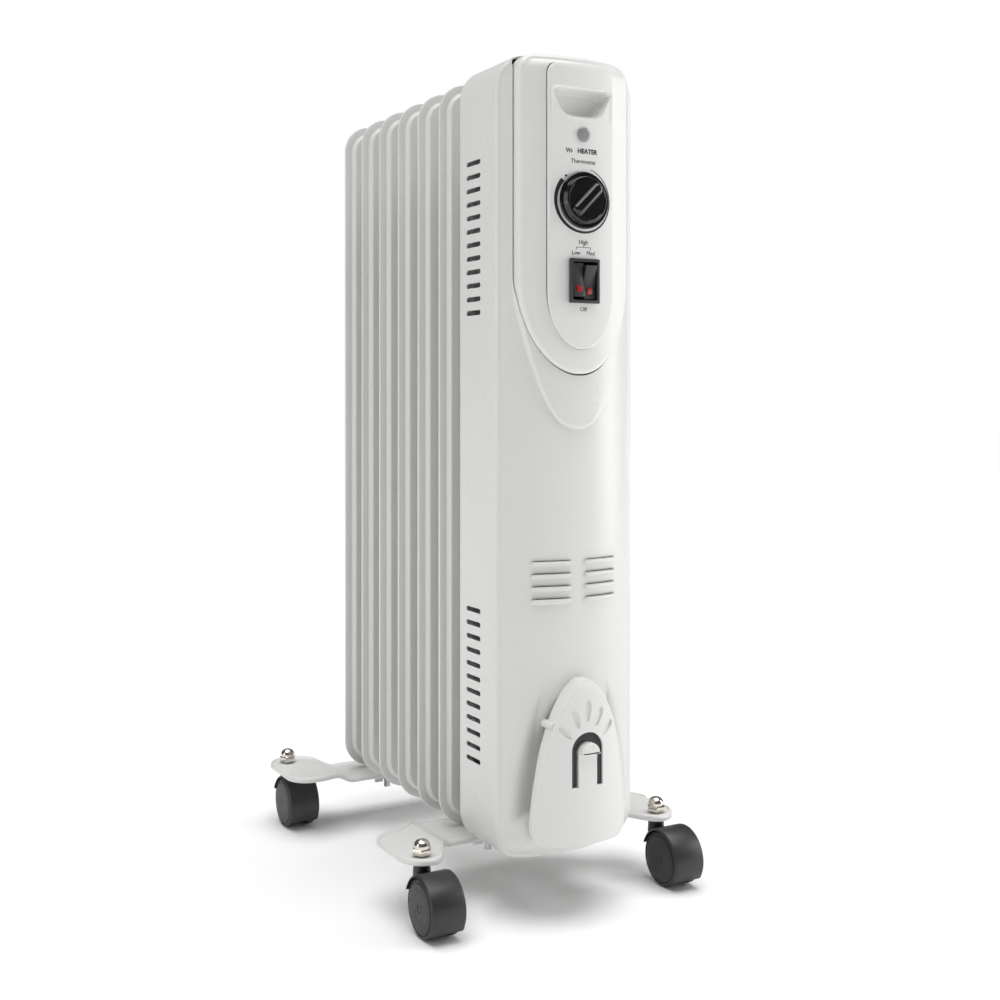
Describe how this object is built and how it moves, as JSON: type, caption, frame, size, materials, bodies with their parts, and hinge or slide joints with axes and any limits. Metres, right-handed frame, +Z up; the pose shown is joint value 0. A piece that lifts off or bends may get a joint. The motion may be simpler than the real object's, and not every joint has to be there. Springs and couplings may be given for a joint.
{
  "type": "oil filled radiator heater",
  "caption": "White oil filled radiator heater with upright pressed fins, a front cover with thermostat knob, rocker switches and cord bracket, and foot bars on swivel casters.",
  "frame": {"origin": "on the floor below the middle of the heater's bounding box", "axes": "+Z up, the front cover and its controls towards -Y, +X to the right of someone facing the controls"},
  "size_m": [0.24, 0.36, 0.626],
  "materials": {
    "white_enamel": "satin white powder coat on pressed steel",
    "white_plastic": "satin white moulded ABS",
    "black_gloss_plastic": "polished black ABS",
    "black_nylon": "satin black moulded nylon",
    "zinc_plated_steel": "bright zinc plating",
    "stainless_tube": "drawn steel tube",
    "nickel_plate": "bright nickel plating",
    "galvanised_sheet": "galvanised sheet",
    "brass": "turned brass",
    "phenolic": "moulded phenolic",
    "grey_lens": "translucent grey lens, unlit",
    "red_lens": "translucent red lens"
  },
  "bodies": {
    "root": {"fin_1": "white_enamel", "fin_2": "white_enamel", "fin_3": "white_enamel", "fin_4": "white_enamel", "fin_5": "white_enamel", "fin_6": "white_enamel", "fin_7": "white_enamel", "heating_element": "stainless_tube", "element_flange": "brass", "oil_filler_plug": "zinc_plated_steel", "front_cover": "white_enamel", "heat_shield": "galvanised_sheet", "thermal_cutout": "phenolic", "terminal_block": "phenolic", "cord_gland": "black_nylon", "wiring_loom": "black_nylon", "control_housing": "white_plastic", "fascia_panel": "white_plastic", "pilot_lamp": "grey_lens", "thermostat_body": "phenolic", "switch_bezel": "black_gloss_plastic", "cord_bracket": "white_plastic", "front_foot_bar": "white_enamel", "rear_foot_bar": "white_enamel", "front_u_bolt": "zinc_plated_steel", "rear_u_bolt": "zinc_plated_steel", "front_left_wing_nut": "zinc_plated_steel", "front_left_stem": "zinc_plated_steel", "front_left_cap_nut": "nickel_plate", "front_right_wing_nut": "zinc_plated_steel", "front_right_stem": "zinc_plated_steel", "front_right_cap_nut": "nickel_plate", "rear_left_wing_nut": "zinc_plated_steel", "rear_left_stem": "zinc_plated_steel", "rear_left_cap_nut": "nickel_plate", "rear_right_wing_nut": "zinc_plated_steel", "rear_right_stem": "zinc_plated_steel", "rear_right_cap_nut": "nickel_plate"},
    "thermostat": {"thermostat_knob": "black_gloss_plastic", "thermostat_shaft": "brass"},
    "left_rocker": {"rocker_left": "black_gloss_plastic", "rocker_lens_left": "red_lens"},
    "right_rocker": {"rocker_right": "black_gloss_plastic", "rocker_lens_right": "red_lens"},
    "front_left_caster": {"front_left_caster_hood": "black_nylon", "front_left_axle": "zinc_plated_steel"},
    "front_left_wheel_a_body": {"front_left_wheel_a": "black_nylon"},
    "front_left_wheel_b_body": {"front_left_wheel_b": "black_nylon"},
    "front_right_caster": {"front_right_caster_hood": "black_nylon", "front_right_axle": "zinc_plated_steel"},
    "front_right_wheel_a_body": {"front_right_wheel_a": "black_nylon"},
    "front_right_wheel_b_body": {"front_right_wheel_b": "black_nylon"},
    "rear_left_caster": {"rear_left_caster_hood": "black_nylon", "rear_left_axle": "zinc_plated_steel"},
    "rear_left_wheel_a_body": {"rear_left_wheel_a": "black_nylon"},
    "rear_left_wheel_b_body": {"rear_left_wheel_b": "black_nylon"},
    "rear_right_caster": {"rear_right_caster_hood": "black_nylon", "rear_right_axle": "zinc_plated_steel"},
    "rear_right_wheel_a_body": {"rear_right_wheel_a": "black_nylon"},
    "rear_right_wheel_b_body": {"rear_right_wheel_b": "black_nylon"}
  },
  "joints": [
    {"name": "thermostat_turn", "type": "hinge", "parent": "root", "child": "thermostat", "pos_m": [0, -0.17, 0.5205], "axis": [0, -1, 0], "range_deg": [-210, 60]},
    {"name": "left_rocker_tilt", "type": "hinge", "parent": "root", "child": "left_rocker", "pos_m": [-0.00495, -0.166, 0.4625], "axis": [1, 0, 0], "range_deg": [0, 16]},
    {"name": "right_rocker_tilt", "type": "hinge", "parent": "root", "child": "right_rocker", "pos_m": [0.00495, -0.166, 0.4625], "axis": [1, 0, 0], "range_deg": [-16, 0]},
    {"name": "front_left_swivel", "type": "hinge", "parent": "root", "child": "front_left_caster", "pos_m": [-0.103, -0.116, 0.04], "axis": [0, 0, 1], "continuous": true},
    {"name": "front_left_wheel_a_spin", "type": "hinge", "parent": "front_left_caster", "child": "front_left_wheel_a_body", "pos_m": [-0.1111, -0.138, 0.021], "axis": [1, 0, 0], "continuous": true},
    {"name": "front_left_wheel_b_spin", "type": "hinge", "parent": "front_left_caster", "child": "front_left_wheel_b_body", "pos_m": [-0.0949, -0.138, 0.021], "axis": [1, 0, 0], "continuous": true},
    {"name": "front_right_swivel", "type": "hinge", "parent": "root", "child": "front_right_caster", "pos_m": [0.103, -0.116, 0.04], "axis": [0, 0, 1], "continuous": true},
    {"name": "front_right_wheel_a_spin", "type": "hinge", "parent": "front_right_caster", "child": "front_right_wheel_a_body", "pos_m": [0.0949, -0.138, 0.021], "axis": [1, 0, 0], "continuous": true},
    {"name": "front_right_wheel_b_spin", "type": "hinge", "parent": "front_right_caster", "child": "front_right_wheel_b_body", "pos_m": [0.1111, -0.138, 0.021], "axis": [1, 0, 0], "continuous": true},
    {"name": "rear_left_swivel", "type": "hinge", "parent": "root", "child": "rear_left_caster", "pos_m": [-0.103, 0.162, 0.04], "axis": [0, 0, 1], "continuous": true},
    {"name": "rear_left_wheel_a_spin", "type": "hinge", "parent": "rear_left_caster", "child": "rear_left_wheel_a_body", "pos_m": [-0.1111, 0.14, 0.021], "axis": [1, 0, 0], "continuous": true},
    {"name": "rear_left_wheel_b_spin", "type": "hinge", "parent": "rear_left_caster", "child": "rear_left_wheel_b_body", "pos_m": [-0.0949, 0.14, 0.021], "axis": [1, 0, 0], "continuous": true},
    {"name": "rear_right_swivel", "type": "hinge", "parent": "root", "child": "rear_right_caster", "pos_m": [0.103, 0.162, 0.04], "axis": [0, 0, 1], "continuous": true},
    {"name": "rear_right_wheel_a_spin", "type": "hinge", "parent": "rear_right_caster", "child": "rear_right_wheel_a_body", "pos_m": [0.0949, 0.14, 0.021], "axis": [1, 0, 0], "continuous": true},
    {"name": "rear_right_wheel_b_spin", "type": "hinge", "parent": "rear_right_caster", "child": "rear_right_wheel_b_body", "pos_m": [0.1111, 0.14, 0.021], "axis": [1, 0, 0], "continuous": true}
  ]
}
